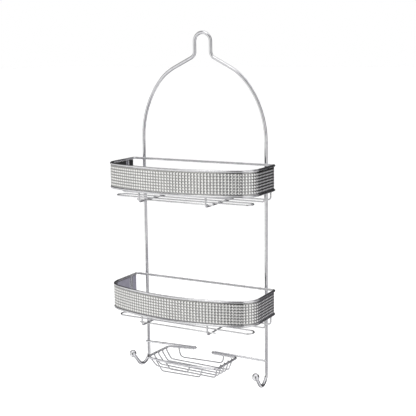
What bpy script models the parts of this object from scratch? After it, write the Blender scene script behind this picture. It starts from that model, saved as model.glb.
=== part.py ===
"""Chrome wire shower caddy: one bent hanging wire, two D-shaped baskets with studded bands,
and a wire soap dish between two hooks.

Units are metres, +Z is up, the front faces -Y and the caddy is 0.26 m between its uprights.
The origin is where the caddy hangs: on the inner face of the hanger loop, under its crown.
"""

import math

import bmesh
import bpy
from mathutils import Vector

# ---- driving dimensions ------------------------------------------------------------------

GAP = 0.0003                    # left between two wires that are welded together

# the hanging wire
FRAME_WIRE = 0.006              # diameter
MIDDLE_X = -0.0022              # of the uprights and baskets: the loop is bent off centre
UPRIGHT_SPACING = 0.260         # between the uprights' centre lines
NECK_SPACING = 0.0334           # between the centre lines of the hanger loop's legs
NECK_BEND_Z = -0.0390           # where the legs turn out into the shoulders
NECK_BEND_RADIUS = 0.012
SHOULDER = (0.0784, -0.0702)    # x and z of the bend half-way down the shoulder
SHOULDER_RADIUS = 0.095
ARCH_CORNER_Z = -0.1330         # where the shoulder's line meets the upright's
ARCH_RADIUS = 0.170
HOOK_CENTER_Z = {-1: -0.6230, 1: -0.6254}      # the left hook is bent a little higher
HOOK_RADIUS = 0.019
HOOK_TURN = math.radians(139)
HOOK_LEG = {-1: 0.0240, 1: 0.0215}             # the straight end of each hook
HOOK_SPLAY = math.radians(3.2)                 # outwards, away from the other hook
BALL_DIAMETER = 0.0135

# the baskets
BASKET_Z = {"upper": -0.2332, "lower": -0.4632}     # height of each top rim's centre line
RIM_WIRE = 0.0042
BASKET_WIDTH = 0.300            # between the side rims' centre lines
BASKET_FRONT_Y = -0.129         # the rim's centre line in the middle of the bowed front
FRONT_RADIUS = 0.355            # of the bowed front
CORNER_RADIUS = 0.036           # of the front corners
REAR_CORNER_RADIUS = 0.004
BAND_HEIGHT = 0.044             # between the centre lines of the top and the bottom rim
BAND_END_Y = -0.0105            # where the band's two ends stop, in front of the back rail
LINER_THICKNESS = 0.0008
FACING_THICKNESS = 0.0014
FACING_OFFSET = 0.0002          # of the facing's back, outside the rims' centre line

# the baskets' floors, under their bottom rims
FLOOR_WIRE = 0.0028
BEARER_WIRE = 0.0032
FLOOR_DROP = 0.0595             # from the top rim down to the floor wires' centre lines
REAR_WIRE_Y = -0.0235
MID_WIRE_Y = -0.0480
LOOP_Y = -0.083
LOOP_WIDTH = 0.022
LOOP_LEFT_X = -0.135
LOOP_RIGHT_X = 0.144
FRONT_ROD_Y = -0.1155
FRONT_ROD_ENDS = (-0.073, 0.085)
BEARER_X = {"left": -0.0635, "right": 0.072}
BEARER_END_Y = -0.018
FLOOR_BEND_RADIUS = 0.005

# the soap dish
DISH_Z = -0.6012                # the rim's centre line
DISH_WIRE = 0.004
DISH_HALF_WIDTH = 0.075
DISH_REAR_Y = -0.0133
DISH_CORNER_Y = -0.0860
DISH_BOW_Y = -0.0995            # where the halves of the front wire would meet without their bow
DISH_BOW_RADIUS = 0.35
DISH_REAR_RADIUS = 0.005
DISH_FRONT_RADIUS = 0.008
DISH_SKEW = 0.058               # how far the dish is bent to the left, for each metre forward
ARM_OVERHANG = 0.003            # how far the arms' ends reach past the uprights' centre lines
ARM_INNER_X = {-1: -0.017, 1: 0.021}     # where each arm turns back towards its side
ARM_RISE = {-1: 0.0040, 1: 0.0008}       # of that turn over the rim

# the wires hung in the dish
TRAY_WIRE = 0.0024
TRAY_WIRE_Y = (-0.0235, -0.0355, -0.0475, -0.0595, -0.0715)
TRAY_FAN = 1.11                 # how much further forward the tray wires are at the rim
TRAY_DEPTH = 0.0215
TRAY_TILT = 0.0010              # how far the tray's bottom is up on the left and down on the right
TRAY_BOTTOM_HALF_WIDTH = 0.063
TRAY_BEND_RADIUS = 0.007
FRONT_GUARD_TILT = 0.40         # how far the front guards lean back, for each metre down
# left leg, right leg, bend radius; a leg is the x of its top, the x of its foot and its depth
REAR_GUARD = ((-0.0516, -0.0480, 0.0175), (0.0463, 0.0449, 0.0155), 0.009)
FRONT_GUARD = ((-0.0548, -0.0494, 0.0245), (0.0435, 0.0318, 0.0228), 0.005)
INNER_GUARD = ((-0.0320, -0.0286, 0.0155), (0.0176, 0.0091, 0.0155), 0.005)

BEND_STEP = math.radians(15)    # a round bend's facets turn by no more than this
FRONT_SEGMENTS = 12
CORNER_SEGMENTS = 5


# ---- materials ---------------------------------------------------------------------------

def plated(name, color, roughness):
    """Chromium plate, polished to the roughness given."""
    material = bpy.data.materials.new(name)
    material.use_nodes = True
    shader = material.node_tree.nodes["Principled BSDF"]
    shader.inputs["Base Color"].default_value = (*color, 1.0)
    shader.inputs["Metallic"].default_value = 1.0
    shader.inputs["Roughness"].default_value = roughness
    return material


def make_materials():
    return {
        "frame": plated("frame_chrome", (0.72, 0.72, 0.74), 0.12),
        "ball": plated("ball_chrome", (0.78, 0.78, 0.80), 0.08),
        "rim": plated("rim_chrome", (0.70, 0.70, 0.72), 0.10),
        "liner": plated("liner_chrome", (0.62, 0.62, 0.65), 0.15),
        "facing": plated("facing_chrome", (0.75, 0.75, 0.74), 0.20),
        "floor": plated("floor_chrome", (0.74, 0.74, 0.76), 0.15),
        "dish": plated("dish_chrome", (0.72, 0.72, 0.74), 0.14),
    }


# ---- paths -------------------------------------------------------------------------------

def bend(before, corner, after, radius):
    """Points of the arc that rounds one corner of a bent wire."""
    back = (before - corner).normalized()
    ahead = (after - corner).normalized()
    turn = math.pi - back.angle(ahead)
    reach = radius * math.tan(turn / 2)
    middle = (back + ahead).normalized()
    center = corner + middle * (radius / math.cos(turn / 2))
    first = corner + back * reach - center
    axis = first.cross(corner + ahead * reach - center).normalized()
    side = axis.cross(first)
    steps = max(2, math.ceil(turn / BEND_STEP))
    points = []
    for i in range(steps + 1):
        angle = turn * i / steps
        points.append(center + first * math.cos(angle) + side * math.sin(angle))
    return points


def bent_path(corners):
    """A wire's centre line from its corners, each an (x, y, z) and a bend radius.

    The two ends have a radius of 0.
    """
    places = [Vector(place) for place, radius in corners]
    points = [places[0]]
    for i in range(1, len(corners) - 1):
        points += bend(places[i - 1], places[i], places[i + 1], corners[i][1])
    points.append(places[-1])
    path = [points[0]]
    for point in points[1:]:
        if (point - path[-1]).length > 1e-5:
            path.append(point)
    return path


def arc(center, radius, start, end, steps):
    """Points in the XY plane round a centre, from one angle to another."""
    points = []
    for i in range(steps + 1):
        angle = start + (end - start) * i / steps
        x = center[0] + radius * math.cos(angle)
        y = center[1] + radius * math.sin(angle)
        points.append(Vector((x, y, 0)))
    return points


def band_path(offset, end_y):
    """The baskets' D from its right rear end round the front to its left rear end.

    The offset moves the path outwards, off the rims' centre line.
    """
    inner_x = BASKET_WIDTH / 2 - CORNER_RADIUS
    front_center_y = BASKET_FRONT_Y + FRONT_RADIUS
    reach = FRONT_RADIUS - CORNER_RADIUS
    corner_y = front_center_y - math.sqrt(reach ** 2 - inner_x ** 2)
    half_bow = math.asin(inner_x / reach)
    down = math.radians(-90)
    corner = CORNER_RADIUS + offset
    side_x = BASKET_WIDTH / 2 + offset
    right = arc((inner_x, corner_y), corner, 0, down + half_bow, CORNER_SEGMENTS)
    front = arc((0, front_center_y), FRONT_RADIUS + offset, down + half_bow, down - half_bow,
                FRONT_SEGMENTS)
    left = arc((-inner_x, corner_y), corner, down - half_bow, math.radians(-180),
               CORNER_SEGMENTS)
    ends = [Vector((side_x, end_y, 0)), Vector((-side_x, end_y, 0))]
    return ends[:1] + right + front[1:-1] + left + ends[1:]


# ---- solids ------------------------------------------------------------------------------

def place(obj, parent, material):
    obj.data.materials.append(material)
    obj.parent = parent
    bpy.context.scene.collection.objects.link(obj)
    return obj


def wire(name, points, diameter, parent, material, closed=False, sides=8):
    """A round wire along a centre line, with flat ends unless it closes on itself."""
    curve = bpy.data.curves.new(name, "CURVE")
    curve.dimensions = "3D"
    curve.bevel_depth = diameter / 2
    curve.bevel_resolution = (sides - 4) // 2
    curve.use_fill_caps = not closed
    spline = curve.splines.new("POLY")
    spline.points.add(len(points) - 1)
    for knot, point in zip(spline.points, points):
        knot.co = (*point, 1.0)
    spline.use_cyclic_u = closed
    spline.use_smooth = True
    return place(bpy.data.objects.new(name, curve), parent, material)


def strip(name, inner, outer, bottom_z, top_z, parent, material):
    """A bent strip of sheet between two paths that run side by side."""
    mesh = bpy.data.meshes.new(name)
    bm = bmesh.new()
    rows = []
    for near, far in zip(inner, outer):
        row = [bm.verts.new((near.x, near.y, bottom_z))]
        row.append(bm.verts.new((far.x, far.y, bottom_z)))
        row.append(bm.verts.new((far.x, far.y, top_z)))
        row.append(bm.verts.new((near.x, near.y, top_z)))
        rows.append(row)
    for this, following in zip(rows, rows[1:]):
        for i in range(4):
            j = (i + 1) % 4
            bm.faces.new((this[i], this[j], following[j], following[i]))
    bm.faces.new(rows[0])
    bm.faces.new(rows[-1])
    bmesh.ops.recalc_face_normals(bm, faces=bm.faces)
    bm.to_mesh(mesh)
    bm.free()
    mesh.shade_smooth()
    mesh.set_sharp_from_angle(angle=math.radians(35))
    return place(bpy.data.objects.new(name, mesh), parent, material)


def ball(name, location, direction, parent, material):
    """A ball with a small flat where the hook's end meets it, facing against the direction."""
    radius = BALL_DIAMETER / 2
    flat_distance = math.sqrt(radius ** 2 - (FRAME_WIRE / 2) ** 2)
    mesh = bpy.data.meshes.new(name)
    bm = bmesh.new()
    bmesh.ops.create_uvsphere(bm, u_segments=14, v_segments=10, radius=radius)
    cut = bmesh.ops.bisect_plane(bm, geom=bm.verts[:] + bm.edges[:] + bm.faces[:],
                                 plane_co=(0, 0, -flat_distance), plane_no=(0, 0, -1),
                                 clear_outer=True)
    rim = [item for item in cut["geom_cut"] if isinstance(item, bmesh.types.BMEdge)]
    bmesh.ops.edgeloop_fill(bm, edges=rim)
    bmesh.ops.recalc_face_normals(bm, faces=bm.faces)
    bm.to_mesh(mesh)
    bm.free()
    mesh.shade_smooth()
    mesh.set_sharp_from_angle(angle=math.radians(35))
    obj = bpy.data.objects.new(name, mesh)
    obj.location = location + direction * (flat_distance + GAP)
    obj.rotation_mode = "QUATERNION"
    obj.rotation_quaternion = direction.to_track_quat("Z", "Y")
    return place(obj, parent, material)


def group(name, x, z):
    empty = bpy.data.objects.new(name, None)
    empty.location = (x, 0, z)
    bpy.context.scene.collection.objects.link(empty)
    return empty


# ---- the hanging wire --------------------------------------------------------------------

def hook_path(side):
    """From the foot of an upright, down and forward round the hook to its straight end."""
    reach = [(0.0, HOOK_CENTER_Z[side])]
    steps = math.ceil(HOOK_TURN / BEND_STEP)
    for i in range(1, steps + 1):
        angle = HOOK_TURN * i / steps
        forward = HOOK_RADIUS * (1 - math.cos(angle))
        reach.append((forward, HOOK_CENTER_Z[side] - HOOK_RADIUS * math.sin(angle)))
    forward = reach[-1][0] + HOOK_LEG[side] * math.sin(HOOK_TURN)
    reach.append((forward, reach[-1][1] - HOOK_LEG[side] * math.cos(HOOK_TURN)))
    points = []
    for forward, z in reach:
        x = MIDDLE_X + side * (UPRIGHT_SPACING / 2 + forward * math.sin(HOOK_SPLAY))
        points.append(Vector((x, -forward * math.cos(HOOK_SPLAY), z)))
    return points


def half_frame(side):
    """One half of the hanging wire, from the loop's crown down to the hook's end."""
    leg_x = side * NECK_SPACING / 2
    crown_z = FRAME_WIRE / 2
    hook = hook_path(side)
    return bent_path((
        ((0, 0, crown_z), 0),
        ((leg_x, 0, crown_z), abs(leg_x) - 1e-6),
        ((leg_x, 0, NECK_BEND_Z), NECK_BEND_RADIUS),
        ((MIDDLE_X + side * SHOULDER[0], 0, SHOULDER[1]), SHOULDER_RADIUS),
        ((hook[0].x, 0, ARCH_CORNER_Z), ARCH_RADIUS),
        (hook[0], 0),
    )) + hook[1:]


def hanging_wire(parent, materials):
    """The whole frame is one wire: hook, upright, shoulder, loop and back down again."""
    path = half_frame(-1)[::-1] + half_frame(1)[1:]
    wire("hanger_frame", path, FRAME_WIRE, parent, materials["frame"], sides=12)
    for name, side in (("hook_ball_left", -1), ("hook_ball_right", 1)):
        before, end = hook_path(side)[-2:]
        ball(name, end, (end - before).normalized(), parent, materials["ball"])


# ---- one basket --------------------------------------------------------------------------

def rim_path(z):
    """The closed D of a rim: the band's path, two rear corners and the back rail."""
    rail_y = -(FRAME_WIRE / 2 + RIM_WIRE / 2 + GAP)
    side_x = BASKET_WIDTH / 2
    center = (side_x - REAR_CORNER_RADIUS, rail_y - REAR_CORNER_RADIUS)
    path = band_path(0, center[1])
    left = arc((-center[0], center[1]), REAR_CORNER_RADIUS, math.pi, math.pi / 2, 3)
    right = arc(center, REAR_CORNER_RADIUS, math.pi / 2, 0, 3)
    points = path + left[1:] + right[:-1]
    return [point + Vector((0, 0, z)) for point in points]


def band(prefix, parent, materials):
    """A smooth liner with the studded facing outside it, held between the two rims."""
    top_z = -(RIM_WIRE / 2 + GAP)
    bottom_z = -BAND_HEIGHT - top_z
    liner_face = FACING_OFFSET - GAP
    facing_face = FACING_OFFSET + FACING_THICKNESS
    strip(prefix + "_band_liner", band_path(liner_face - LINER_THICKNESS, BAND_END_Y),
          band_path(liner_face, BAND_END_Y), bottom_z, top_z, parent, materials["liner"])
    strip(prefix + "_stud_facing", band_path(FACING_OFFSET, BAND_END_Y),
          band_path(facing_face, BAND_END_Y), bottom_z, top_z, parent, materials["facing"])


def cross_wire(name, y, parent, materials):
    """A floor wire from side to side, its two ends bent up under the side rims."""
    side_x = BASKET_WIDTH / 2
    top_z = -BAND_HEIGHT - RIM_WIRE / 2 - GAP
    path = bent_path((
        ((-side_x, y, top_z), 0),
        ((-side_x, y, -FLOOR_DROP), FLOOR_BEND_RADIUS),
        ((side_x, y, -FLOOR_DROP), FLOOR_BEND_RADIUS),
        ((side_x, y, top_z), 0),
    ))
    wire(name, path, FLOOR_WIRE, parent, materials["floor"])


def floor_loop(name, parent, materials):
    """A long closed loop of wire with round ends."""
    radius = LOOP_WIDTH / 2
    right = arc((LOOP_RIGHT_X - radius, LOOP_Y), radius, -math.pi / 2, math.pi / 2, 10)
    left = arc((LOOP_LEFT_X + radius, LOOP_Y), radius, math.pi / 2, math.pi * 1.5, 10)
    points = [point + Vector((0, 0, -FLOOR_DROP)) for point in right + left]
    wire(name, points, FLOOR_WIRE, parent, materials["floor"], closed=True)


def bearer(name, x, parent, materials):
    """A front-to-back wire under the floor, its front end bent up under the bottom rim."""
    front_y = BASKET_FRONT_Y + FRONT_RADIUS - math.sqrt(FRONT_RADIUS ** 2 - x ** 2)
    top_z = -BAND_HEIGHT - RIM_WIRE / 2 - GAP
    run_z = -FLOOR_DROP - FLOOR_WIRE / 2 - BEARER_WIRE / 2 - GAP
    path = bent_path((
        ((x, front_y, top_z), 0),
        ((x, front_y, run_z), FLOOR_BEND_RADIUS),
        ((x, BEARER_END_Y, run_z), 0),
    ))
    wire(name, path, BEARER_WIRE, parent, materials["floor"])


def front_rod(name, parent, materials):
    """A straight rod across the front of the two bearers."""
    path = [Vector((x, FRONT_ROD_Y, -FLOOR_DROP)) for x in FRONT_ROD_ENDS]
    wire(name, path, FLOOR_WIRE, parent, materials["floor"])


def basket(prefix, z, materials):
    parent = group(prefix + "_basket", MIDDLE_X, z)
    rim = materials["rim"]
    wire(prefix + "_top_rim", rim_path(0), RIM_WIRE, parent, rim, closed=True)
    wire(prefix + "_bottom_rim", rim_path(-BAND_HEIGHT), RIM_WIRE, parent, rim, closed=True)
    band(prefix, parent, materials)
    cross_wire(prefix + "_floor_wire_rear", REAR_WIRE_Y, parent, materials)
    cross_wire(prefix + "_floor_wire_mid", MID_WIRE_Y, parent, materials)
    floor_loop(prefix + "_floor_loop", parent, materials)
    front_rod(prefix + "_floor_rod_front", parent, materials)
    for side, x in BEARER_X.items():
        bearer(prefix + "_bearer_" + side, x, parent, materials)


# ---- the soap dish -----------------------------------------------------------------------

def arm_height(x):
    """How far the dish's rear wire stands over its rim at a place along it."""
    side = -1 if x < 0 else 1
    share = (DISH_HALF_WIDTH - abs(x)) / (DISH_HALF_WIDTH - abs(ARM_INNER_X[side]))
    return ARM_RISE[side] * share


def skewed(x, y):
    return x + DISH_SKEW * (y - DISH_REAR_Y)


def dish_half(side):
    """Half of the dish's support wire: arm, tight turn, rear wire, side and front corner."""
    arm_y = -(FRAME_WIRE / 2 + DISH_WIRE / 2 + GAP)
    turn = (arm_y - DISH_REAR_Y) / 2
    outer_x = side * (UPRIGHT_SPACING / 2 + ARM_OVERHANG)
    inner_x = ARM_INNER_X[side]
    side_x = side * DISH_HALF_WIDTH
    rise = ARM_RISE[side]
    return (
        ((outer_x, arm_y, 0), 0),
        ((inner_x, arm_y, rise), turn - 1e-5),
        ((inner_x, DISH_REAR_Y, rise), turn - 1e-5),
        ((side_x, DISH_REAR_Y, 0), DISH_REAR_RADIUS),
        ((skewed(side_x, DISH_CORNER_Y), DISH_CORNER_Y, 0), DISH_FRONT_RADIUS),
    )


def front_y(x):
    """Where the bowed front wire of the rim runs, at a place along it."""
    slope = math.atan2(DISH_CORNER_Y - DISH_BOW_Y, DISH_HALF_WIDTH)
    center_y = DISH_BOW_Y + DISH_BOW_RADIUS / math.cos(slope)
    along = x - skewed(0, DISH_BOW_Y)
    return center_y - math.sqrt(DISH_BOW_RADIUS ** 2 - along ** 2)


def tray_wire(name, y, parent, materials):
    """A wire from side to side that hangs from the insides of the dish's side rims."""
    rim_x = DISH_HALF_WIDTH - DISH_WIRE / 2 - TRAY_WIRE / 2 - 2 * GAP
    rim_y = TRAY_FAN * y
    left_x = skewed(-rim_x, rim_y)
    right_x = skewed(rim_x, rim_y)
    path = bent_path((
        ((left_x, rim_y, DISH_WIRE / 2), 0),
        ((left_x, rim_y, -DISH_WIRE), TRAY_BEND_RADIUS),
        ((skewed(-TRAY_BOTTOM_HALF_WIDTH, y), y, TRAY_TILT - TRAY_DEPTH), TRAY_BEND_RADIUS),
        ((skewed(TRAY_BOTTOM_HALF_WIDTH, y), y, -TRAY_TILT - TRAY_DEPTH), TRAY_BEND_RADIUS),
        ((right_x, rim_y, -DISH_WIRE), TRAY_BEND_RADIUS),
        ((right_x, rim_y, DISH_WIRE / 2), 0),
    ))
    wire(name, path, TRAY_WIRE, parent, materials["dish"])


def guard_leg(leg, y, top, tilt):
    """The top and the foot of one leg of a guard, under a wire at the given y and height."""
    top_x, foot_x, depth = leg
    lean = abs(foot_x - top_x) / depth
    under = DISH_WIRE / 2 + GAP + (lean + tilt) * TRAY_WIRE / 2
    return (top_x, y, top - under), (foot_x, y + tilt * depth, -depth)


def guard(name, shape, places, tilt, parent, materials):
    """A U of wire hung under the front or the rear wire of the rim."""
    left_leg, right_leg, radius = shape
    left_top, left_foot = guard_leg(left_leg, *places[0], tilt)
    right_top, right_foot = guard_leg(right_leg, *places[1], tilt)
    path = bent_path(((left_top, 0), (left_foot, radius), (right_foot, radius), (right_top, 0)))
    wire(name, path, TRAY_WIRE, parent, materials["dish"])


def soap_dish(materials):
    parent = group("soap_dish", MIDDLE_X, DISH_Z)
    middle = (((skewed(0, DISH_BOW_Y), DISH_BOW_Y, 0), DISH_BOW_RADIUS),)
    path = bent_path(dish_half(-1) + middle + tuple(reversed(dish_half(1))))
    wire("dish_support_wire", path, DISH_WIRE, parent, materials["dish"], sides=10)
    for number, y in enumerate(TRAY_WIRE_Y, 1):
        tray_wire("dish_tray_wire_%d" % number, y, parent, materials)
    places = [(DISH_REAR_Y, arm_height(leg[0])) for leg in REAR_GUARD[:2]]
    guard("dish_rear_guard", REAR_GUARD, places, 0, parent, materials)
    for name, shape in (("dish_front_guard", FRONT_GUARD), ("dish_inner_guard", INNER_GUARD)):
        places = [(front_y(leg[0]), 0) for leg in shape[:2]]
        guard(name, shape, places, FRONT_GUARD_TILT, parent, materials)


def main():
    for obj in list(bpy.data.objects):
        bpy.data.objects.remove(obj)
    materials = make_materials()
    hanging_wire(group("caddy", 0, 0), materials)
    for prefix, z in BASKET_Z.items():
        basket(prefix, z, materials)
    soap_dish(materials)


main()
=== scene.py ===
"""Looks of a chrome wire shower caddy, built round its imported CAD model.

Every wire is drawn again as a smooth tube on the same centre line, the baskets' bands get
their pressed studs, and the welds between the wires are added. Lengths are in metres.
"""

import math

import bmesh
import bpy
from mathutils import Matrix, Vector


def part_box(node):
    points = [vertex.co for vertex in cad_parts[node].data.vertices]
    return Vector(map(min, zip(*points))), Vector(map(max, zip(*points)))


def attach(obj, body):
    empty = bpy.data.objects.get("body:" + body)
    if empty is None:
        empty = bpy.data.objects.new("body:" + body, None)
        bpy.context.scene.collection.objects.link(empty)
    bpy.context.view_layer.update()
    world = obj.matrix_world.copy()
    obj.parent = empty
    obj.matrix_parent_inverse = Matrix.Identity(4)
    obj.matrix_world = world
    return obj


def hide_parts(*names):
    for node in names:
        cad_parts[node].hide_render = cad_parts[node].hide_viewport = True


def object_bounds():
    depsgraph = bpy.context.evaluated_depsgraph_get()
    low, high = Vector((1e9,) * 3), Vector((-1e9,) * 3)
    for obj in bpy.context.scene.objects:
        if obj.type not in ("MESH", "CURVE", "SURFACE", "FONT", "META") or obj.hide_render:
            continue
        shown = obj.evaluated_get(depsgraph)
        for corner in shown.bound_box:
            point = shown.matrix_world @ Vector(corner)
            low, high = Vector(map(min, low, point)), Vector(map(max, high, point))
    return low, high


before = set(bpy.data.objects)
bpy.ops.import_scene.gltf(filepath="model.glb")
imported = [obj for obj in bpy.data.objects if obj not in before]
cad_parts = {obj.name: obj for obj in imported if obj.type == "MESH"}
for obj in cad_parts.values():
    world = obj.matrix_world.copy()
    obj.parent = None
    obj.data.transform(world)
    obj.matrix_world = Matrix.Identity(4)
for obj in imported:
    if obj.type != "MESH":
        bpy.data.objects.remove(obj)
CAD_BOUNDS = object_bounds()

# ---- the caddy's measures ----------------------------------------------------------------

GAP = 0.0003                    # between two wires that are welded together
FRAME_WIRE = 0.006
UPRIGHT_X = 0.130
NECK_X = 0.0167
NECK_BEND_Z = -0.0390
NECK_BEND_RADIUS = 0.012
SHOULDER = (0.0784, -0.0702)
SHOULDER_RADIUS = 0.095
ARCH_CORNER_Z = -0.1330
ARCH_RADIUS = 0.170
HOOK_CENTER_Z = {-1: -0.6230, 1: -0.6254}
HOOK_RADIUS = 0.019
HOOK_TURN = math.radians(139)
HOOK_LEG = {-1: 0.0240, 1: 0.0215}
HOOK_SPLAY = math.radians(3.2)
BALL_RADIUS = 0.00675

RIM_WIRE = 0.0042
SIDE_X = 0.150
BASKET_FRONT_Y = -0.129
FRONT_RADIUS = 0.355
CORNER_RADIUS = 0.036
REAR_CORNER_RADIUS = 0.004
BAND_HEIGHT = 0.044
LINER_THICKNESS = 0.0008
FACING_OFFSET = 0.0002
SHEET_THICKNESS = 0.0004
STUD_HEIGHT = 0.0009
STUD_COLUMNS = 80
STUD_ROWS = 7
STUD_PITCH = (0.00587, 0.00518)
STUD_CELLS = 10
STUD_REACH = (0.44, 0.41)       # of a stud, from its middle, across and up, in pitches
STUD_SQUARENESS = 3.0

FLOOR_WIRE = 0.0028
BEARER_WIRE = 0.0032
FLOOR_DROP = 0.0595
FLOOR_BEND_RADIUS = 0.005

DISH_WIRE = 0.004
DISH_HALF_WIDTH = 0.075
DISH_REAR_Y = -0.0133
DISH_CORNER_Y = -0.0860
DISH_BOW_Y = -0.0995            # where the halves of the front wire would meet without their bow
DISH_BOW_RADIUS = 0.35
DISH_REAR_RADIUS = 0.005
DISH_FRONT_RADIUS = 0.008
DISH_SKEW = 0.058
ARM_INNER_X = {-1: -0.017, 1: 0.021}
ARM_RISE = {-1: 0.0040, 1: 0.0008}
TRAY_WIRE = 0.0024
TRAY_WIRE_Y = (-0.0235, -0.0355, -0.0475, -0.0595, -0.0715)
TRAY_FAN = 1.11
TRAY_DEPTH = 0.0215
TRAY_TILT = 0.0010
TRAY_BOTTOM_HALF_WIDTH = 0.063
TRAY_BEND_RADIUS = 0.007
FRONT_GUARD_TILT = 0.40
# left leg, right leg, bend radius; a leg is the x of its top, the x of its foot and its depth
REAR_GUARD = ((-0.0516, -0.0480, 0.0175), (0.0463, 0.0449, 0.0155), 0.009)
FRONT_GUARD = ((-0.0548, -0.0494, 0.0245), (0.0435, 0.0318, 0.0228), 0.005)
INNER_GUARD = ((-0.0320, -0.0286, 0.0155), (0.0176, 0.0091, 0.0155), 0.005)

BEND_STEP = math.radians(5)
SAME_PLACE = 1e-5               # points closer than this on a centre line are one
NECK_SLACK = 1e-6               # keeps the loop's two quarter bends from quite meeting
TURN_SLACK = 1e-5               # the same for the dish arms' tight turns
EASED_END = ((0.00, 0.45), (0.06, 0.75), (0.16, 0.92), (0.32, 1.00))    # setback, radius
WELD_FLATNESS = 0.62            # of a nugget, against its width
# half the width of a nugget, as a share of its wire's diameter
LEG_WELD = 0.72
BEARER_WELD = 0.70
CROSSING_WELD = 0.52
RAIL_WELD = 0.55
GUARD_WELD = 0.68
TRAY_WELD = 0.62
ARM_WELD = 0.55

rim_low, rim_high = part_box("upper_top_rim")
MIDDLE_X = (rim_low.x + rim_high.x) / 2        # pieces are drawn round this plane

# ---- the camera, standing in front and a little to the right ------------------------------

CAMERA_AZIMUTH = 28.917
CAMERA_ELEVATION = 9.921
CAMERA_ROLL = -0.715
CAMERA_DISTANCE = 1.7055
CAMERA_TARGET = Vector((0.0073, 0.0, -0.3215))
CAMERA_LENS = 78.54
CAMERA_SENSOR = 36.0
CAMERA_CLIP = (0.05, 50.0)

# ---- the studio ---------------------------------------------------------------------------

FLOOR_BELOW = 0.30              # the floor under the caddy's hooks
FLOOR_SIZE = 80.0
FLOOR_COLOR = (0.90, 0.90, 0.90, 1.0)
FLOOR_ROUGHNESS = 0.9
FLOOR_GLOW = 0.35               # keeps the floor as pale as the surround
KEY_OFFSET = Vector((-0.9, -1.2, 1.5))
KEY_SIZE = (1.4, 1.0)
KEY_POWER = 30.0
WHITE = (1.0, 1.0, 1.0, 1.0)
SURROUND = (0.62, 0.61, 0.64)
AZIMUTH_START = -120.0
# Zones of the surround: azimuth from and to, with 0 in front and 90 at the right; elevation
# from and to; the softness of their edges, all in degrees; and the colour of their light.
STUDIO_ZONES = (
    (-125, 245, 56, 95, 10.0, (1.25, 1.25, 1.25)),
    (-125, 140, 17, 45, 4.0, (0.13, 0.13, 0.13)),
    (-125, 245, -95, -60, 8.0, (0.45, 0.45, 0.46)),
    (-125, -62, -24, 0, 5.0, (1.00, 1.00, 0.98)),
    (-62, 5, -16, 14, 4.0, (1.05, 1.05, 1.03)),
    (44, 102, -34, 56, 5.0, (0.98, 0.98, 0.98)),
    (-75, -48, 12, 44, 4.0, (0.90, 0.90, 0.90)),
    (-28, 4, 34, 60, 5.0, (2.40, 2.40, 2.36)),
    (-90, 5, -66, -30, 6.0, (1.30, 1.30, 1.30)),
    (5, 50, -62, -36, 6.0, (0.85, 0.85, 0.85)),
    (60, 140, -64, -42, 6.0, (1.10, 1.10, 1.10)),
    (8, 38, -30, 48, 4.0, (0.07, 0.07, 0.07)),
    (105, 140, 0, 36, 4.0, (0.05, 0.05, 0.05)),
    (132, 240, -28, 27, 4.0, (0.04, 0.04, 0.04)),
    (168, 244, -52, 46, 4.0, (0.04, 0.04, 0.04)),
    (138, 158, -27, -10.5, 1.5, (0.37, 0.36, 0.41)),
    (142, 166, 30, 58, 3.0, (1.20, 1.20, 1.20)),
    (142, 166, -62, -33, 3.0, (1.10, 1.10, 1.10)),
)


# ---- materials ---------------------------------------------------------------------------

RIPPLE_DEPTH = 0.00006
CLOUD_EDGES = (0.30, 0.62)      # of the noise, where the dark and the light plating begin
PAINTED_SHADE_EDGES = (0.30, 0.85)     # of the depth between studs, where the painted shade begins and is full
# Painted shade: the colour that the grooves between the studs are darkened to, in place of the
# shade that falls there.
PAINTED_GROOVE_SHADE = (0.45, 0.45, 0.45)

def node(tree, kind, **sockets):
    made = tree.nodes.new(kind)
    for key, value in sockets.items():
        made.inputs[key.replace("_", " ")].default_value = value
    return made


def chrome(name, dark, light, rough, ripple, haze=120.0, ripple_scale=900.0):
    """Chromium plate: clouded reflectance, uneven polish and a fine ripple of the surface."""
    material = bpy.data.materials.new(name)
    material.use_nodes = True
    tree = material.node_tree
    shader = tree.nodes["Principled BSDF"]
    shader.inputs["Metallic"].default_value = 1.0
    where = tree.nodes.new("ShaderNodeTexCoord")
    clouds = node(tree, "ShaderNodeTexNoise", Scale=haze, Detail=4.0, Roughness=0.6)
    tree.links.new(where.outputs["Object"], clouds.inputs["Vector"])
    ramp = tree.nodes.new("ShaderNodeValToRGB")
    ramp.color_ramp.elements[0].position = CLOUD_EDGES[0]
    ramp.color_ramp.elements[0].color = (*dark, 1.0)
    ramp.color_ramp.elements[1].position = CLOUD_EDGES[1]
    ramp.color_ramp.elements[1].color = (*light, 1.0)
    tree.links.new(clouds.outputs["Fac"], ramp.inputs["Fac"])
    tree.links.new(ramp.outputs["Color"], shader.inputs["Base Color"])
    grain = node(tree, "ShaderNodeTexNoise", Scale=ripple_scale, Detail=3.0, Roughness=0.55)
    tree.links.new(where.outputs["Object"], grain.inputs["Vector"])
    polish = tree.nodes.new("ShaderNodeMapRange")
    polish.inputs["To Min"].default_value = rough[0]
    polish.inputs["To Max"].default_value = rough[1]
    tree.links.new(grain.outputs["Fac"], polish.inputs["Value"])
    tree.links.new(polish.outputs["Result"], shader.inputs["Roughness"])
    bump = node(tree, "ShaderNodeBump", Strength=ripple, Distance=RIPPLE_DEPTH)
    tree.links.new(grain.outputs["Fac"], bump.inputs["Height"])
    tree.links.new(bump.outputs["Normal"], shader.inputs["Normal"])
    return material


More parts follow.
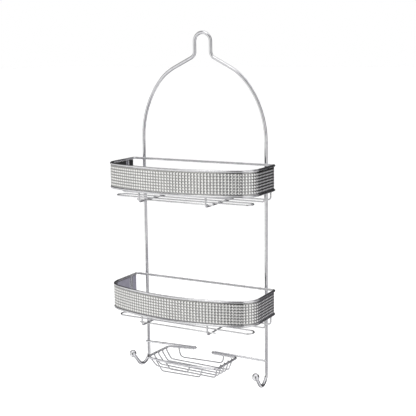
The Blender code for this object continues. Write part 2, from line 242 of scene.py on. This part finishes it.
def paint_groove_shade(material, shade):
    """Painted shade in the grooves between the studs: the plating's colour is darkened by the
    depth pressed into them.
    """
    tree = material.node_tree
    shader = tree.nodes["Principled BSDF"]
    plating = shader.inputs["Base Color"].links[0].from_socket
    height = tree.nodes.new("ShaderNodeAttribute")
    height.attribute_name = "ground"
    ramp = tree.nodes.new("ShaderNodeValToRGB")
    ramp.color_ramp.elements[0].position = PAINTED_SHADE_EDGES[0]
    ramp.color_ramp.elements[0].color = WHITE
    ramp.color_ramp.elements[1].position = PAINTED_SHADE_EDGES[1]
    ramp.color_ramp.elements[1].color = (*shade, 1.0)
    tree.links.new(height.outputs["Fac"], ramp.inputs["Fac"])
    mix = tree.nodes.new("ShaderNodeMix")
    mix.data_type = "RGBA"
    mix.blend_type = "MULTIPLY"
    mix.inputs["Factor"].default_value = 1.0
    tree.links.new(plating, mix.inputs[6])
    tree.links.new(ramp.outputs["Color"], mix.inputs[7])
    tree.links.new(mix.outputs[2], shader.inputs["Base Color"])


def make_materials():
    facing = chrome("stud_facing_chrome", (0.80, 0.80, 0.79), (0.92, 0.92, 0.90),
                    (0.10, 0.20), 0.20, haze=180.0)
    # the facing gets painted shade in the grooves between its studs
    paint_groove_shade(facing, PAINTED_GROOVE_SHADE)
    return {
        "frame_wire": chrome("frame_wire_chrome", (0.66, 0.66, 0.68), (0.76, 0.76, 0.78),
                             (0.07, 0.16), 0.25),
        "hook_ball": chrome("hook_ball_chrome", (0.72, 0.72, 0.74), (0.80, 0.80, 0.82),
                            (0.04, 0.10), 0.12),
        "rim_wire": chrome("rim_wire_chrome", (0.64, 0.64, 0.66), (0.76, 0.76, 0.77),
                           (0.07, 0.16), 0.25),
        "band_liner": chrome("band_liner_chrome", (0.60, 0.60, 0.64), (0.70, 0.70, 0.73),
                             (0.02, 0.04), 0.02, haze=60.0, ripple_scale=350.0),
        "stud_facing": facing,
        "floor_wire": chrome("floor_wire_chrome", (0.66, 0.66, 0.67), (0.76, 0.76, 0.77),
                             (0.08, 0.18), 0.25),
        "bearer_wire": chrome("bearer_wire_chrome", (0.62, 0.62, 0.64), (0.74, 0.74, 0.75),
                              (0.08, 0.18), 0.25),
        "dish_wire": chrome("dish_wire_chrome", (0.64, 0.64, 0.67), (0.76, 0.76, 0.78),
                            (0.07, 0.16), 0.25),
        "tray_wire": chrome("tray_wire_chrome", (0.46, 0.46, 0.48), (0.58, 0.58, 0.60),
                            (0.08, 0.18), 0.25),
        "weld": chrome("weld_chrome", (0.52, 0.52, 0.53), (0.72, 0.72, 0.73),
                       (0.16, 0.38), 0.80, haze=500.0, ripple_scale=1600.0),
    }


# ---- centre lines ------------------------------------------------------------------------

def bend(before, corner, after, radius):
    """Points of the arc that rounds one corner of a bent wire."""
    back = (before - corner).normalized()
    ahead = (after - corner).normalized()
    turn = math.pi - back.angle(ahead)
    reach = radius * math.tan(turn / 2)
    center = corner + (back + ahead).normalized() * (radius / math.cos(turn / 2))
    first = corner + back * reach - center
    axis = first.cross(corner + ahead * reach - center).normalized()
    side = axis.cross(first)
    steps = max(3, math.ceil(turn / BEND_STEP))
    angles = [turn * i / steps for i in range(steps + 1)]
    return [center + first * math.cos(a) + side * math.sin(a) for a in angles]


def bent_path(corners):
    """A wire's centre line from its corners, each an (x, y, z) and a bend radius."""
    places = [Vector(place) for place, radius in corners]
    points = [places[0]]
    for i in range(1, len(corners) - 1):
        points += bend(places[i - 1], places[i], places[i + 1], corners[i][1])
    points.append(places[-1])
    path = [points[0]]
    for point in points[1:]:
        if (point - path[-1]).length > SAME_PLACE:
            path.append(point)
    return path


def arc(center, radius, start, end):
    """Points in the XY plane round a centre, from one angle to another."""
    steps = max(3, math.ceil(abs(end - start) / BEND_STEP * max(1.0, radius / 0.05)))
    angles = [start + (end - start) * i / steps for i in range(steps + 1)]
    return [Vector((center[0] + radius * math.cos(a), center[1] + radius * math.sin(a), 0.0))
            for a in angles]


def lifted(points, z):
    return [point + Vector((0.0, 0.0, z)) for point in points]


def middle(name):
    """The middle of a CAD node's box, from the plane that pieces are drawn round."""
    low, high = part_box(name)
    return (low + high) / 2 - Vector((MIDDLE_X, 0.0, 0.0))


class Band:
    """The baskets' D, as a path from the right rear end round the front to the left one."""

    inner_x = SIDE_X - CORNER_RADIUS
    front_center_y = BASKET_FRONT_Y + FRONT_RADIUS
    reach = FRONT_RADIUS - CORNER_RADIUS
    corner_y = front_center_y - math.sqrt(reach ** 2 - inner_x ** 2)
    half_bow = math.asin(inner_x / reach)

    @classmethod
    def point(cls, s, offset, end_y):
        """The place s metres along from the right rear end, and the outward normal there.

        s is measured along the facing's back, whatever the offset.
        """
        straight = end_y - cls.corner_y
        corner_turn = math.pi / 2 - cls.half_bow
        corner = (CORNER_RADIUS + FACING_OFFSET) * corner_turn
        front = (FRONT_RADIUS + FACING_OFFSET) * 2 * cls.half_bow
        total = 2 * (straight + corner) + front
        side = 1 if s <= total / 2 else -1
        t = s if side > 0 else total - s
        if t <= straight:
            spot = Vector((SIDE_X + offset, end_y - t, 0.0))
            normal = Vector((1.0, 0.0, 0.0))
        elif t <= straight + corner:
            turn = (t - straight) / corner * corner_turn
            normal = Vector((math.cos(turn), -math.sin(turn), 0.0))
            spot = Vector((cls.inner_x, cls.corner_y, 0.0)) + normal * (CORNER_RADIUS + offset)
        else:
            turn = cls.half_bow * (1 - (t - straight - corner) / (front / 2))
            normal = Vector((math.sin(turn), -math.cos(turn), 0.0))
            spot = Vector((0.0, cls.front_center_y, 0.0)) + normal * (FRONT_RADIUS + offset)
        spot.x *= side
        normal.x *= side
        return spot, normal

    @classmethod
    def length(cls, end_y):
        corner_turn = math.pi / 2 - cls.half_bow
        return (2 * (end_y - cls.corner_y) + 2 * (CORNER_RADIUS + FACING_OFFSET) * corner_turn
                + (FRONT_RADIUS + FACING_OFFSET) * 2 * cls.half_bow)


def rim_path(z):
    """The closed D of a rim."""
    rail_y = -(FRAME_WIRE / 2 + RIM_WIRE / 2 + GAP)
    center = (SIDE_X - REAR_CORNER_RADIUS, rail_y - REAR_CORNER_RADIUS)
    total = Band.length(center[1])
    steps = 150
    points = [Band.point(total * i / steps, 0.0, center[1])[0] for i in range(steps + 1)]
    left = arc((-center[0], center[1]), REAR_CORNER_RADIUS, math.pi, math.pi / 2)
    right = arc(center, REAR_CORNER_RADIUS, math.pi / 2, 0.0)
    return lifted(points + left[1:] + right[:-1], z)


# ---- meshes ------------------------------------------------------------------------------

def show(obj, nodes, material):
    """Puts a finished piece in its place in the scene, on the caddy's one body."""
    obj.data.transform(Matrix.Translation((MIDDLE_X, 0.0, 0.0)))
    obj.data.materials.append(material)
    bpy.context.scene.collection.objects.link(obj)
    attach(obj, "root")
    if nodes:
        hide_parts(*nodes)
    return obj


def mesh_object(name, bm, sharp=None):
    bmesh.ops.recalc_face_normals(bm, faces=bm.faces)
    mesh = bpy.data.meshes.new(name)
    bm.to_mesh(mesh)
    bm.free()
    mesh.shade_smooth()
    if sharp is not None:
        mesh.set_sharp_from_angle(angle=math.radians(sharp))
    return bpy.data.objects.new(name, mesh)


def tube_rings(points, radius, closed):
    """Rings of (centre, tangent, radius) along a wire. Open ends are eased to a low dome."""
    count = len(points)
    rings = []
    for i, point in enumerate(points):
        before = points[i - 1] if (i > 0 or closed) else point
        after = points[(i + 1) % count] if (i < count - 1 or closed) else point
        rings.append((point, (after - before).normalized(), radius))
    if closed:
        return rings
    start, start_way, _ = rings[0]
    end, end_way, _ = rings[-1]
    head = [(start + start_way * radius * back, start_way, radius * share)
            for back, share in EASED_END]
    tail = [(end - end_way * radius * back, end_way, radius * share)
            for back, share in reversed(EASED_END)]
    return head + rings[1:-1] + tail


def tube(name, points, diameter, closed=False, sides=16):
    """A smooth round wire along a centre line, its rings carried along without twist."""
    rings = tube_rings(points, diameter / 2, closed)
    bm = bmesh.new()
    tangent = rings[0][1]
    across = tangent.cross(Vector((0.0, 0.0, 1.0)))
    if across.length < 0.1:
        across = tangent.cross(Vector((1.0, 0.0, 0.0)))
    across.normalize()
    loops = []
    frames = []
    for center, way, radius in rings:
        across = (across - way * across.dot(way)).normalized()
        frames.append((center, way, across.copy(), radius))
    twist = 0.0
    if closed:
        first_way = frames[0][1]
        back = (across - first_way * across.dot(first_way)).normalized()
        twist = math.atan2(back.cross(frames[0][2]).dot(first_way), back.dot(frames[0][2]))
    for i, (center, way, x_axis, radius) in enumerate(frames):
        y_axis = way.cross(x_axis)
        shift = twist * i / len(frames)
        loop = []
        for k in range(sides):
            angle = 2 * math.pi * k / sides + shift
            loop.append(bm.verts.new(center + (x_axis * math.cos(angle)
                                               + y_axis * math.sin(angle)) * radius))
        loops.append(loop)
    pairs = list(zip(loops, loops[1:]))
    if closed:
        pairs.append((loops[-1], loops[0]))
    for this, following in pairs:
        for k in range(sides):
            j = (k + 1) % sides
            bm.faces.new((this[k], this[j], following[j], following[k]))
    if not closed:
        bm.faces.new(loops[0])
        bm.faces.new(loops[-1])
    return mesh_object(name, bm, sharp=60)


def ball(name, center, direction):
    """A polished ball, with the small flat where it is pushed on to the hook's end."""
    bm = bmesh.new()
    bmesh.ops.create_uvsphere(bm, u_segments=40, v_segments=28, radius=BALL_RADIUS)
    flat = math.sqrt(BALL_RADIUS ** 2 - (FRAME_WIRE / 2) ** 2)
    cut = bmesh.ops.bisect_plane(bm, geom=bm.verts[:] + bm.edges[:] + bm.faces[:],
                                 plane_co=(0, 0, -flat), plane_no=(0, 0, -1), clear_outer=True)
    edges = [item for item in cut["geom_cut"] if isinstance(item, bmesh.types.BMEdge)]
    bmesh.ops.edgeloop_fill(bm, edges=edges)
    turn = direction.to_track_quat("Z", "Y").to_matrix().to_4x4()
    bmesh.ops.transform(bm, matrix=Matrix.Translation(center) @ turn, verts=bm.verts)
    return mesh_object(name, bm, sharp=50)


def welds(name, spots, material):
    """The small nuggets of metal squeezed out where wires are welded.

    A spot is a place, the direction from one wire to the other, and the nugget's size.
    """
    bm = bmesh.new()
    for place, direction, size in spots:
        turn = direction.to_track_quat("Z", "Y").to_matrix().to_4x4()
        scale = Matrix.Diagonal((size, size, size * WELD_FLATNESS, 1.0))
        matrix = Matrix.Translation(place) @ turn @ scale
        bmesh.ops.create_uvsphere(bm, u_segments=14, v_segments=9, radius=1.0, matrix=matrix)
    return show(mesh_object(name, bm), (), material)


# ---- the hanging wire --------------------------------------------------------------------

def hook_path(side):
    """From the foot of an upright, down and forward round the hook to its straight end."""
    center_z = HOOK_CENTER_Z[side]
    reach = [(0.0, center_z)]
    steps = math.ceil(HOOK_TURN / BEND_STEP)
    for i in range(1, steps + 1):
        angle = HOOK_TURN * i / steps
        reach.append((HOOK_RADIUS * (1 - math.cos(angle)),
                      center_z - HOOK_RADIUS * math.sin(angle)))
    reach.append((reach[-1][0] + HOOK_LEG[side] * math.sin(HOOK_TURN),
                  reach[-1][1] - HOOK_LEG[side] * math.cos(HOOK_TURN)))
    return [Vector((side * (UPRIGHT_X + forward * math.sin(HOOK_SPLAY)),
                    -forward * math.cos(HOOK_SPLAY), z)) for forward, z in reach]


def half_frame(side):
    """One half of the hanging wire, from the loop's crown down to the hook's end."""
    crown = Vector((-MIDDLE_X, 0.0, FRAME_WIRE / 2))
    leg_x = crown.x + side * NECK_X
    hook = hook_path(side)
    return bent_path((
        (crown, 0),
        ((leg_x, 0, crown.z), NECK_X - NECK_SLACK),
        ((leg_x, 0, NECK_BEND_Z), NECK_BEND_RADIUS),
        ((side * SHOULDER[0], 0, SHOULDER[1]), SHOULDER_RADIUS),
        ((side * UPRIGHT_X, 0, ARCH_CORNER_Z), ARCH_RADIUS),
        (hook[0], 0),
    )) + hook[1:]


def hanging_wire(materials):
    left = half_frame(-1)
    right = half_frame(1)
    points = list(reversed(left)) + right[1:]
    show(tube("hanger_wire", points, FRAME_WIRE, sides=24), ("hanger_frame",),
         materials["frame_wire"])
    for node_name, side in (("hook_ball_left", -1), ("hook_ball_right", 1)):
        before, end = hook_path(side)[-2:]
        direction = (end - before).normalized()
        show(ball(node_name + "_polished", middle(node_name), direction), (node_name,),
             materials["hook_ball"])


# ---- the baskets -------------------------------------------------------------------------

def strip(name, end_y, inner, outer, bottom_z, top_z):
    """A bent strip of sheet with a rounded top and bottom edge."""
    total = Band.length(end_y)
    steps = 200
    half = (outer - inner) / 2
    mid = (outer + inner) / 2
    section = []
    for angle in (0, 45, 90, 135, 180):
        a = math.radians(angle)
        section.append((mid + half * math.cos(a), top_z - half + half * math.sin(a)))
    for angle in (180, 225, 270, 315, 360):
        a = math.radians(angle)
        section.append((mid + half * math.cos(a), bottom_z + half + half * math.sin(a)))
    bm = bmesh.new()
    rows = []
    for i in range(steps + 1):
        spot, normal = Band.point(total * i / steps, 0.0, end_y)
        rows.append([bm.verts.new(spot + normal * out + Vector((0.0, 0.0, z)))
                     for out, z in section])
    count = len(section)
    for this, following in zip(rows, rows[1:]):
        for k in range(count):
            j = (k + 1) % count
            bm.faces.new((this[k], this[j], following[j], following[k]))
    bm.faces.new(rows[0])
    bm.faces.new(rows[-1])
    return mesh_object(name, bm, sharp=20)


def stud_rise(across, up):
    """Height, 0 to 1, of a stud's dome; both shares run from 0 to 1 over one pitch."""
    reach = ((abs(across - 0.5) / STUD_REACH[0]) ** STUD_SQUARENESS
             + (abs(up - 0.5) / STUD_REACH[1]) ** STUD_SQUARENESS) ** (1 / STUD_SQUARENESS)
    return math.sqrt(1 - reach ** 2) if reach < 1 else 0.0


def grid_lines(low, high, count, pitch):
    """Cuts across a strip and each cut's share of its pitch: a grid of studs, and two margins."""
    start = (low + high - count * pitch) / 2
    lines = [(low, 0.0)]
    for i in range(count * STUD_CELLS):
        lines.append((start + i * pitch / STUD_CELLS, i % STUD_CELLS / STUD_CELLS))
    return lines + [(start + count * pitch, 0.0), (high, 0.0)]


def stud_sheet(name, end_y, bottom_z, top_z):
    """The pressed facing: rows and columns of domed studs on a flat ground."""
    across = grid_lines(0.0, Band.length(end_y), STUD_COLUMNS, STUD_PITCH[0])
    up = grid_lines(bottom_z, top_z, STUD_ROWS, STUD_PITCH[1])
    bm = bmesh.new()
    # the depth between the studs, which the facing's material turns into painted shade
    ground = bm.verts.layers.float.new("ground")
    face = FACING_OFFSET + SHEET_THICKNESS
    columns = []
    for s, share_s in across:
        spot, normal = Band.point(s, 0.0, end_y)
        column = [bm.verts.new(spot + normal * FACING_OFFSET + Vector((0.0, 0.0, top_z))),
                  bm.verts.new(spot + normal * FACING_OFFSET + Vector((0.0, 0.0, bottom_z)))]
        for z, share_z in up:
            rise = stud_rise(share_s, share_z)
            out = face + STUD_HEIGHT * rise
            column.append(bm.verts.new(spot + normal * out + Vector((0.0, 0.0, z))))
            column[-1][ground] = 1.0 - rise
        columns.append(column)
    count = len(columns[0])
    for this, following in zip(columns, columns[1:]):
        for k in range(count):
            j = (k + 1) % count
            bm.faces.new((this[k], this[j], following[j], following[k]))
    bm.faces.new(columns[0])
    bm.faces.new(columns[-1])
    return mesh_object(name, bm, sharp=75)


def basket(prefix, materials):
    z = middle(prefix + "_top_rim").z
    low_z = z - BAND_HEIGHT
    rim = materials["rim_wire"]
    for part, rim_z in (("_top_rim", z), ("_bottom_rim", low_z)):
        show(tube(prefix + part + "_wire", rim_path(rim_z), RIM_WIRE, closed=True, sides=18),
             (prefix + part,), rim)
    end_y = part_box(prefix + "_stud_facing")[1].y
    top = z - RIM_WIRE / 2 - GAP
    bottom = low_z + RIM_WIRE / 2 + GAP
    liner_face = FACING_OFFSET - GAP
    show(strip(prefix + "_liner", end_y, liner_face - LINER_THICKNESS, liner_face, bottom, top),
         (prefix + "_band_liner",), materials["band_liner"])
    show(stud_sheet(prefix + "_studs", end_y, bottom, top), (prefix + "_stud_facing",),
         materials["stud_facing"])
    floor(prefix, z, materials)


def floor(prefix, z, materials):
    """The floor's wires, its loop, its front rod and the two bearers under them."""
    wires = materials["floor_wire"]
    floor_z = z - FLOOR_DROP
    leg_top = z - BAND_HEIGHT - RIM_WIRE / 2 - GAP
    run_z = floor_z - FLOOR_WIRE / 2 - BEARER_WIRE / 2 - GAP
    crossing_y = []
    nuggets = []
    for part in ("_floor_wire_rear", "_floor_wire_mid"):
        y = middle(prefix + part).y
        crossing_y.append(y)
        path = bent_path((
            ((-SIDE_X, y, leg_top), 0),
            ((-SIDE_X, y, floor_z), FLOOR_BEND_RADIUS),
            ((SIDE_X, y, floor_z), FLOOR_BEND_RADIUS),
            ((SIDE_X, y, leg_top), 0),
        ))
        show(tube(prefix + part + "_bent", path, FLOOR_WIRE), (prefix + part,),
             wires)
        for side in (-1, 1):
            place = Vector((side * SIDE_X, y, leg_top + GAP / 2))
            nuggets.append((place, Vector((0, 0, 1)), FLOOR_WIRE * LEG_WELD))
    low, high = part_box(prefix + "_floor_loop")
    radius = (high.y - low.y - FLOOR_WIRE) / 2
    loop_y = (low.y + high.y) / 2
    right_x = high.x - FLOOR_WIRE / 2 - radius - MIDDLE_X
    left_x = low.x + FLOOR_WIRE / 2 + radius - MIDDLE_X
    loop = (arc((right_x, loop_y), radius, -math.pi / 2, math.pi / 2)
            + arc((left_x, loop_y), radius, math.pi / 2, math.pi * 1.5))
    show(tube(prefix + "_floor_loop_bent", lifted(loop, floor_z), FLOOR_WIRE, closed=True),
         (prefix + "_floor_loop",), wires)
    crossing_y += [loop_y + radius, loop_y - radius]
    low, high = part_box(prefix + "_floor_rod_front")
    rod_y = (low.y + high.y) / 2
    crossing_y.append(rod_y)
    rod = [Vector((low.x - MIDDLE_X, rod_y, floor_z)),
           Vector((high.x - MIDDLE_X, rod_y, floor_z))]
    show(tube(prefix + "_floor_rod", rod, FLOOR_WIRE), (prefix + "_floor_rod_front",),
         wires)
    for side in ("left", "right"):
        name = prefix + "_bearer_" + side
        low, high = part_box(name)
        x = middle(name).x
        front_y = low.y + BEARER_WIRE / 2
        path = bent_path((
            ((x, front_y, leg_top), 0),
            ((x, front_y, run_z), FLOOR_BEND_RADIUS),
            ((x, high.y, run_z), 0),
        ))
        show(tube(name + "_bent", path, BEARER_WIRE), (name,),
             materials["bearer_wire"])
        nuggets.append((Vector((x, front_y, leg_top + GAP / 2)), Vector((0, 0, 1)),
                        BEARER_WIRE * BEARER_WELD))
        for y in crossing_y:
            place = Vector((x, y, floor_z - FLOOR_WIRE / 2 - GAP / 2))
            nuggets.append((place, Vector((0, 0, 1)), FLOOR_WIRE * CROSSING_WELD))
    welds(prefix + "_floor_welds", nuggets, materials["weld"])
    rails = []
    for rail_z in (z, z - BAND_HEIGHT):
        for side in (-1, 1):
            place = Vector((side * UPRIGHT_X, -(FRAME_WIRE / 2 + GAP / 2), rail_z))
            rails.append((place, Vector((0, 1, 0)), RIM_WIRE * RAIL_WELD))
    welds(prefix + "_rail_welds", rails, materials["weld"])


# ---- the soap dish -----------------------------------------------------------------------

def arm_height(x):
    side = -1 if x < 0 else 1
    share = (DISH_HALF_WIDTH - abs(x)) / (DISH_HALF_WIDTH - abs(ARM_INNER_X[side]))
    return ARM_RISE[side] * share


def skewed(x, y):
    """The dish stands a little askew: the further forward, the further to the left."""
    return x + DISH_SKEW * (y - DISH_REAR_Y)


def dish_half(side, z, outer_x):
    """Half of the dish's support wire: arm, tight turn, rear wire, side and front corner."""
    arm_y = -(FRAME_WIRE / 2 + DISH_WIRE / 2 + GAP)
    turn = (arm_y - DISH_REAR_Y) / 2
    inner_x = ARM_INNER_X[side]
    side_x = side * DISH_HALF_WIDTH
    rise = z + ARM_RISE[side]
    return (
        ((outer_x, arm_y, z), 0),
        ((inner_x, arm_y, rise), turn - TURN_SLACK),
        ((inner_x, DISH_REAR_Y, rise), turn - TURN_SLACK),
        ((side_x, DISH_REAR_Y, z), DISH_REAR_RADIUS),
        ((skewed(side_x, DISH_CORNER_Y), DISH_CORNER_Y, z), DISH_FRONT_RADIUS),
    )


def front_y(x):
    """Where the bowed front wire of the rim runs, at a place along it."""
    slope = math.atan2(DISH_CORNER_Y - DISH_BOW_Y, DISH_HALF_WIDTH)
    center_y = DISH_BOW_Y + DISH_BOW_RADIUS / math.cos(slope)
    along = x - skewed(0, DISH_BOW_Y)
    return center_y - math.sqrt(DISH_BOW_RADIUS ** 2 - along ** 2)


def guard_leg(leg, y, top, z, tilt):
    """The top and the foot of one leg of a guard, under a wire at the given y and height."""
    top_x, foot_x, depth = leg
    lean = abs(foot_x - top_x) / depth
    under = DISH_WIRE / 2 + GAP + (lean + tilt) * TRAY_WIRE / 2
    return (top_x, y, z + top - under), (foot_x, y + tilt * depth, z - depth)


def guard(node_name, shape, places, z, tilt, materials):
    """A U of wire hung under the front or the rear wire of the rim, and its weld places."""
    left_leg, right_leg, radius = shape
    left_top, left_foot = guard_leg(left_leg, *places[0], z, tilt)
    right_top, right_foot = guard_leg(right_leg, *places[1], z, tilt)
    path = bent_path(((left_top, 0), (left_foot, radius), (right_foot, radius), (right_top, 0)))
    show(tube(node_name + "_bent", path, TRAY_WIRE), (node_name,),
         materials["tray_wire"])
    return [(path[0], Vector((0, 0, 1)), TRAY_WIRE * GUARD_WELD),
            (path[-1], Vector((0, 0, 1)), TRAY_WIRE * GUARD_WELD)]


def soap_dish(materials):
    low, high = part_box("dish_support_wire")
    z = low.z + DISH_WIRE / 2
    front = (((skewed(0, DISH_BOW_Y), DISH_BOW_Y, z), DISH_BOW_RADIUS),)
    path = bent_path(dish_half(-1, z, low.x - MIDDLE_X) + front
                     + tuple(reversed(dish_half(1, z, high.x - MIDDLE_X))))
    show(tube("dish_rim_wire", path, DISH_WIRE, sides=18), ("dish_support_wire",),
         materials["dish_wire"])
    rim_x = DISH_HALF_WIDTH - DISH_WIRE / 2 - TRAY_WIRE / 2 - 2 * GAP
    shoulder_z = z - DISH_WIRE
    bottom_z = z - TRAY_DEPTH
    nuggets = []
    for number, y in enumerate(TRAY_WIRE_Y, 1):
        node_name = "dish_tray_wire_%d" % number
        rim_y = TRAY_FAN * y
        left_x = skewed(-rim_x, rim_y)
        right_x = skewed(rim_x, rim_y)
        path = bent_path((
            ((left_x, rim_y, z + DISH_WIRE / 2), 0),
            ((left_x, rim_y, shoulder_z), TRAY_BEND_RADIUS),
            ((skewed(-TRAY_BOTTOM_HALF_WIDTH, y), y, bottom_z + TRAY_TILT), TRAY_BEND_RADIUS),
            ((skewed(TRAY_BOTTOM_HALF_WIDTH, y), y, bottom_z - TRAY_TILT), TRAY_BEND_RADIUS),
            ((right_x, rim_y, shoulder_z), TRAY_BEND_RADIUS),
            ((right_x, rim_y, z + DISH_WIRE / 2), 0),
        ))
        show(tube(node_name + "_bent", path, TRAY_WIRE), (node_name,),
             materials["tray_wire"])
        for side in (-1, 1):
            place = Vector((skewed(side * (DISH_HALF_WIDTH - DISH_WIRE / 2), rim_y), rim_y, z))
            nuggets.append((place, Vector((1, 0, 0)), TRAY_WIRE * TRAY_WELD))
    places = [(DISH_REAR_Y, arm_height(leg[0])) for leg in REAR_GUARD[:2]]
    nuggets += guard("dish_rear_guard", REAR_GUARD, places, z, 0.0, materials)
    for node_name, shape in (("dish_front_guard", FRONT_GUARD),
                             ("dish_inner_guard", INNER_GUARD)):
        places = [(front_y(leg[0]), 0.0) for leg in shape[:2]]
        nuggets += guard(node_name, shape, places, z, FRONT_GUARD_TILT, materials)
    for side in (-1, 1):
        place = Vector((side * UPRIGHT_X, -(FRAME_WIRE / 2 + GAP / 2), z))
        nuggets.append((place, Vector((0, 1, 0)), DISH_WIRE * ARM_WELD))
    welds("dish_welds", nuggets, materials["weld"])


# ---- the studio --------------------------------------------------------------------------

def math_node(tree, operation, first, second=None):
    """A Math node. Its inputs are sockets or plain numbers."""
    made = tree.nodes.new("ShaderNodeMath")
    made.operation = operation
    for socket, value in zip(made.inputs, (first, second)):
        if isinstance(value, bpy.types.NodeSocket):
            tree.links.new(value, socket)
        elif value is not None:
            socket.default_value = value
    return made.outputs[0]


def edge(tree, value, at, soft, rising):
    """0 to 1 or 1 to 0, smoothly, as the value passes a limit."""
    made = tree.nodes.new("ShaderNodeMapRange")
    made.interpolation_type = "SMOOTHSTEP"
    made.inputs["From Min"].default_value = at - soft
    made.inputs["From Max"].default_value = at + soft
    made.inputs["To Min"].default_value = 0.0 if rising else 1.0
    made.inputs["To Max"].default_value = 1.0 if rising else 0.0
    tree.links.new(value, made.inputs["Value"])
    return made.outputs["Result"]


def studio_world():
    """Plain white to the camera; the chrome reflects the zones of light and dark instead."""
    world = bpy.data.worlds.new("studio")
    bpy.context.scene.world = world
    world.use_nodes = True
    tree = world.node_tree
    where = tree.nodes.new("ShaderNodeTexCoord")
    axes = tree.nodes.new("ShaderNodeSeparateXYZ")
    tree.links.new(where.outputs["Generated"], axes.inputs[0])
    back = math_node(tree, "MULTIPLY", axes.outputs["Y"], -1.0)
    turn = math_node(tree, "ARCTAN2", axes.outputs["X"], back)
    turn = math_node(tree, "MULTIPLY", turn, 180.0 / math.pi)
    turn = math_node(tree, "ADD", turn, -AZIMUTH_START)
    turn = math_node(tree, "FLOORED_MODULO", turn, 360.0)
    turn = math_node(tree, "ADD", turn, AZIMUTH_START)
    rise = math_node(tree, "ARCSINE", axes.outputs["Z"])
    rise = math_node(tree, "MULTIPLY", rise, 180.0 / math.pi)
    color = None
    for west, east, below, above, soft, shade in STUDIO_ZONES:
        mask = math_node(tree, "MULTIPLY", edge(tree, turn, west, soft, True),
                         edge(tree, turn, east, soft, False))
        tall = math_node(tree, "MULTIPLY", edge(tree, rise, below, soft, True),
                         edge(tree, rise, above, soft, False))
        mask = math_node(tree, "MULTIPLY", mask, tall)
        mix = tree.nodes.new("ShaderNodeMix")
        mix.data_type = "RGBA"
        mix.inputs[6].default_value = (*SURROUND, 1.0)
        if color is not None:
            tree.links.new(color, mix.inputs[6])
        mix.inputs[7].default_value = (*shade, 1.0)
        tree.links.new(mask, mix.inputs[0])
        color = mix.outputs[2]
    eye = tree.nodes.new("ShaderNodeLightPath")
    seen = tree.nodes.new("ShaderNodeMix")
    seen.data_type = "RGBA"
    tree.links.new(eye.outputs["Is Camera Ray"], seen.inputs[0])
    tree.links.new(color, seen.inputs[6])
    seen.inputs[7].default_value = WHITE
    tree.links.new(seen.outputs[2], tree.nodes["Background"].inputs["Color"])


def studio(bounds):
    low, high = bounds
    center = (Vector(low) + Vector(high)) / 2
    studio_world()
    bm = bmesh.new()
    bmesh.ops.create_grid(bm, x_segments=1, y_segments=1, size=FLOOR_SIZE / 2)
    mesh = bpy.data.meshes.new("studio_floor")
    bm.to_mesh(mesh)
    bm.free()
    ground = bpy.data.objects.new("studio_floor", mesh)
    ground.location = (center.x, center.y, low[2] - FLOOR_BELOW)
    material = bpy.data.materials.new("studio_floor")
    material.use_nodes = True
    shader = material.node_tree.nodes["Principled BSDF"]
    shader.inputs["Base Color"].default_value = FLOOR_COLOR
    shader.inputs["Roughness"].default_value = FLOOR_ROUGHNESS
    shader.inputs["Specular IOR Level"].default_value = 0.0
    shader.inputs["Emission Color"].default_value = WHITE
    shader.inputs["Emission Strength"].default_value = FLOOR_GLOW
    mesh.materials.append(material)
    bpy.context.scene.collection.objects.link(ground)
    ground.visible_glossy = False
    light = bpy.data.lights.new("key", "AREA")
    light.shape = "RECTANGLE"
    light.size, light.size_y = KEY_SIZE
    light.energy = KEY_POWER
    lamp = bpy.data.objects.new("key", light)
    lamp.location = center + KEY_OFFSET
    lamp.rotation_euler = (center - lamp.location).to_track_quat("-Z", "Y").to_euler()
    lamp.visible_glossy = False
    bpy.context.scene.collection.objects.link(lamp)


def camera():
    azimuth = math.radians(CAMERA_AZIMUTH)
    elevation = math.radians(CAMERA_ELEVATION)
    roll = math.radians(CAMERA_ROLL)
    toward = Vector((math.sin(azimuth) * math.cos(elevation),
                     -math.cos(azimuth) * math.cos(elevation), math.sin(elevation)))
    right = (-toward).cross(Vector((0.0, 0.0, 1.0))).normalized()
    up = toward.cross(right)
    x_axis = right * math.cos(roll) + up * math.sin(roll)
    y_axis = up * math.cos(roll) - right * math.sin(roll)
    data = bpy.data.cameras.new("camera")
    data.lens = CAMERA_LENS
    data.sensor_width = CAMERA_SENSOR
    data.clip_start, data.clip_end = CAMERA_CLIP
    obj = bpy.data.objects.new("camera", data)
    place = CAMERA_TARGET + toward * CAMERA_DISTANCE
    turn = Matrix((x_axis, y_axis, toward)).transposed().to_4x4()
    obj.matrix_world = Matrix.Translation(place) @ turn
    bpy.context.scene.collection.objects.link(obj)
    bpy.context.scene.camera = obj


def main():
    materials = make_materials()
    hanging_wire(materials)
    for prefix in ("upper", "lower"):
        basket(prefix, materials)
    soap_dish(materials)
    studio(CAD_BOUNDS)
    camera()
    bpy.context.scene.view_settings.view_transform = "Standard"


main()
